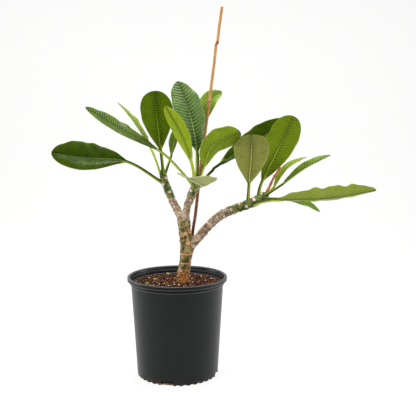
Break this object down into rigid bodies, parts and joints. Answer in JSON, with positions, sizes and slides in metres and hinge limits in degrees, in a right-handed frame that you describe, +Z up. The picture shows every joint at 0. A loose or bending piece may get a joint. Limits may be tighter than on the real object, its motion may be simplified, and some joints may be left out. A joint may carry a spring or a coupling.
{
  "type": "potted plumeria plant",
  "caption": "Young branching plumeria (frangipani) shrub with broad leathery leaves, grown in a round black nursery pot and held by a slanting bamboo stake.",
  "frame": {"origin": "centre of the pot's base, on the surface that it stands on", "axes": "+Z up along the pot's axis, +X towards the low side branch, +Y towards the back, where the stake stands"},
  "size_m": [0.8122, 0.3322, 0.9305],
  "materials": {
    "pot_plastic": "satin black moulded polypropylene",
    "bark_mix": "loose composted bark with white perlite",
    "plumeria_bark": "matt grey-green bark with leaf scars",
    "bamboo": "smooth reddish brown cane",
    "leaf": "waxy green leaf, paler underneath",
    "dry_stalk": "dull reddish brown"
  },
  "bodies": {
    "root": {"nursery_pot": "pot_plastic", "potting_soil": "bark_mix", "stem": "plumeria_bark", "bamboo_stake": "bamboo", "leaf_left_low": "leaf", "leaf_left_back": "leaf", "leaf_left_broad": "leaf", "leaf_left_small": "leaf", "leaf_middle_left": "leaf", "leaf_middle_slim": "leaf", "leaf_middle_tall": "leaf", "leaf_middle_back": "leaf", "leaf_middle_broad": "leaf", "leaf_middle_reaching": "leaf", "leaf_middle_front": "leaf", "leaf_right_round": "leaf", "leaf_right_broad": "leaf", "leaf_right_slim": "leaf", "leaf_right_long": "leaf", "leaf_right_low": "leaf", "leaf_right_under": "leaf", "flower_stalk": "dry_stalk", "old_stalk_stub": "dry_stalk"}
  },
  "joints": []
}
